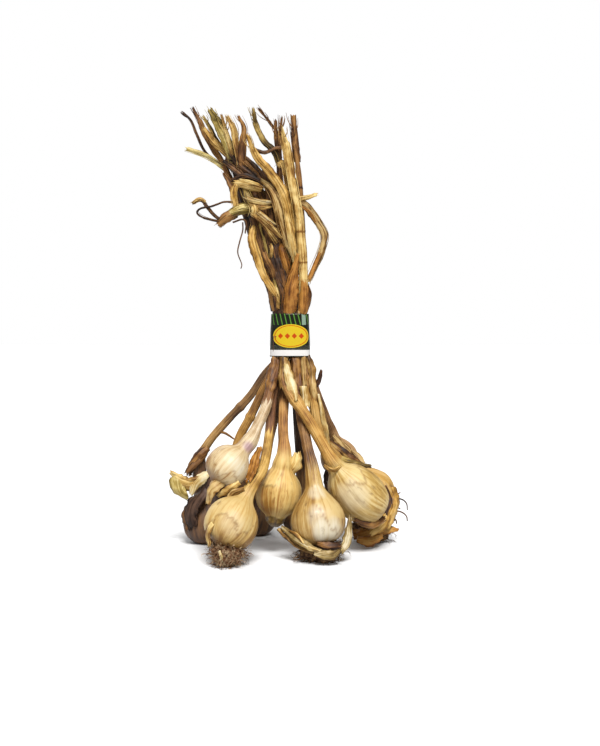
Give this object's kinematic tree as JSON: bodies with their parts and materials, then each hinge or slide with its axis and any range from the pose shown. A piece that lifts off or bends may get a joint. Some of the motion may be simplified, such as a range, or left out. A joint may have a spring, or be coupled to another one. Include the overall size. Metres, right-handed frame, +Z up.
{
  "type": "garlic bunch",
  "caption": "Bunch of whole dried garlic plants: papery bulbs fanned out below, stalks gathered in a printed paper label, dry leaves in a tuft above.",
  "frame": {"origin": "middle of the bottom of the whole bunch's box, on the surface that it stands on", "axes": "+Z up along the bunch, from the bulbs to the leaf tips; -Y towards the viewer of the picture; +X to the viewer's right"},
  "size_m": [0.2324, 0.189, 0.4434],
  "materials": {
    "pale_skin": "thin dry bulb skin with a silky sheen",
    "gold_skin": "thin dry bulb skin, straw gold with brown streaks",
    "dark_skin": "thin dry bulb skin, shaded brown",
    "dry_leaf": "dry leaf and stalk, fibrous",
    "label_paper": "printed, glossy"
  },
  "bodies": {
    "root": {"plant_top_left": "pale_skin", "plant_front_left": "gold_skin", "plant_centre": "gold_skin", "plant_front_right": "pale_skin", "plant_right": "gold_skin", "plant_outer_right": "gold_skin", "plant_back_right": "gold_skin", "plant_far_left": "dark_skin", "plant_inner_left": "dark_skin", "plant_back": "dark_skin", "plant_back_left": "dark_skin", "leaf_tuft": "dry_leaf", "label_band": "label_paper"}
  },
  "joints": []
}
